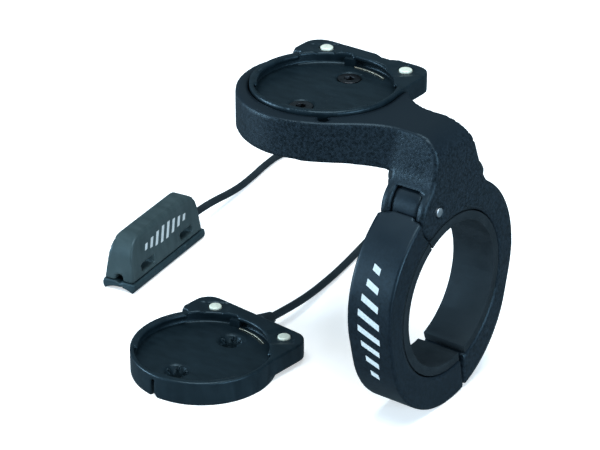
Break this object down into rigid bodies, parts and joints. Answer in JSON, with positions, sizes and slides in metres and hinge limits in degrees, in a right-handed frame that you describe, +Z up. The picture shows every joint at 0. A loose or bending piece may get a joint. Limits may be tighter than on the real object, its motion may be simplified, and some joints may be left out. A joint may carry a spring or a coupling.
{
  "type": "cycling computer mount kit",
  "caption": "Hinged handlebar clamp with a bent arm and round docking cradle, and a wired second cradle with its fork-mounted wheel sensor.",
  "frame": {"origin": "on the surface that the kit stands on, under the middle of the kit without its free cable", "axes": "+X along the handlebar from the cradle to the clamp ring, +Y forward past the front of the handlebar, +Z up out of the cradle"},
  "size_m": [0.0998, 0.1277, 0.0637],
  "materials": {
    "moulded_plastic": "black glass-filled nylon, finely grained",
    "sensor_plastic": "satin blue-black",
    "rubber": "matt black",
    "cable_jacket": "satin black jacket",
    "steel": "bright",
    "black_steel": "black oxide",
    "brass": "plain",
    "contact_metal": "pale nickel silver",
    "circuit_board": "green laminate",
    "switch_glass": "clear"
  },
  "bodies": {
    "mount": {"mount_arm": "moulded_plastic", "liner_front": "rubber", "hinge_pin": "steel", "cradle_shell": "moulded_plastic", "cradle_contact_cover": "moulded_plastic", "cradle_contact_strip_left": "brass", "cradle_contact_strip_right": "brass", "cradle_contact_spring_left": "steel", "cradle_contact_spring_right": "steel", "cradle_screw_front": "black_steel", "cradle_screw_back": "black_steel"},
    "jaw": {"clamp_jaw": "moulded_plastic", "liner_rear": "rubber", "clamp_insert": "brass"},
    "washer": {"clamp_washer": "steel"},
    "bolt": {"clamp_bolt": "black_steel"},
    "wired_set": {"dock_shell": "moulded_plastic", "dock_contact_cover": "moulded_plastic", "dock_contact_strip_left": "brass", "dock_contact_strip_right": "brass", "dock_contact_spring_left": "steel", "dock_contact_spring_right": "steel", "dock_gland": "rubber", "cable_from_dock": "cable_jacket", "cable_coil": "cable_jacket", "coil_tie": "rubber", "cable_to_sensor": "cable_jacket", "sensor_gland": "rubber", "sensor_housing": "sensor_plastic", "sensor_base": "rubber", "sensor_board": "circuit_board", "reed_switch": "switch_glass"},
    "cradle_contact_left": {"cradle_contact_pin_left": "contact_metal"},
    "cradle_contact_right": {"cradle_contact_pin_right": "contact_metal"},
    "dock_contact_left": {"dock_contact_pin_left": "contact_metal"},
    "dock_contact_right": {"dock_contact_pin_right": "contact_metal"}
  },
  "joints": [
    {"name": "jaw_hinge", "type": "hinge", "parent": "mount", "child": "jaw", "pos_m": [0.04259, -0.00215, 0.0469], "axis": [-1, 0, 0], "range_deg": [0, 50]},
    {"name": "bolt_backs_out", "type": "slide", "parent": "mount", "child": "washer", "axis": [0, 0.9781, 0.2079], "range_m": [0, 0.0065]},
    {"name": "bolt_turn", "type": "hinge", "parent": "washer", "child": "bolt", "pos_m": [0.04259, 0.00822, 0.00418], "axis": [0, 0.9781, 0.2079], "range_deg": [0, 4680]},
    {"name": "wired_set_lift", "type": "slide", "parent": "mount", "child": "wired_set", "axis": [0, 0, 1], "range_m": [0, 0.04]},
    {"name": "cradle_contact_press_left", "type": "slide", "parent": "mount", "child": "cradle_contact_left", "axis": [0, 0, -1], "range_m": [0, 0.0003], "stiffness_N_per_m": 1200, "deforming": ["cradle_contact_spring_left"]},
    {"name": "cradle_contact_press_right", "type": "slide", "parent": "mount", "child": "cradle_contact_right", "axis": [0, 0, -1], "range_m": [0, 0.0003], "stiffness_N_per_m": 1200, "deforming": ["cradle_contact_spring_right"]},
    {"name": "dock_contact_press_left", "type": "slide", "parent": "wired_set", "child": "dock_contact_left", "axis": [0, 0, -1], "range_m": [0, 0.0003], "stiffness_N_per_m": 1200, "deforming": ["dock_contact_spring_left"]},
    {"name": "dock_contact_press_right", "type": "slide", "parent": "wired_set", "child": "dock_contact_right", "axis": [0, 0, -1], "range_m": [0, 0.0003], "stiffness_N_per_m": 1200, "deforming": ["dock_contact_spring_right"]}
  ],
  "couplings": [
    {"joint": "bolt_turn", "follows": "bolt_backs_out", "rad_per_m": 12566}
  ]
}
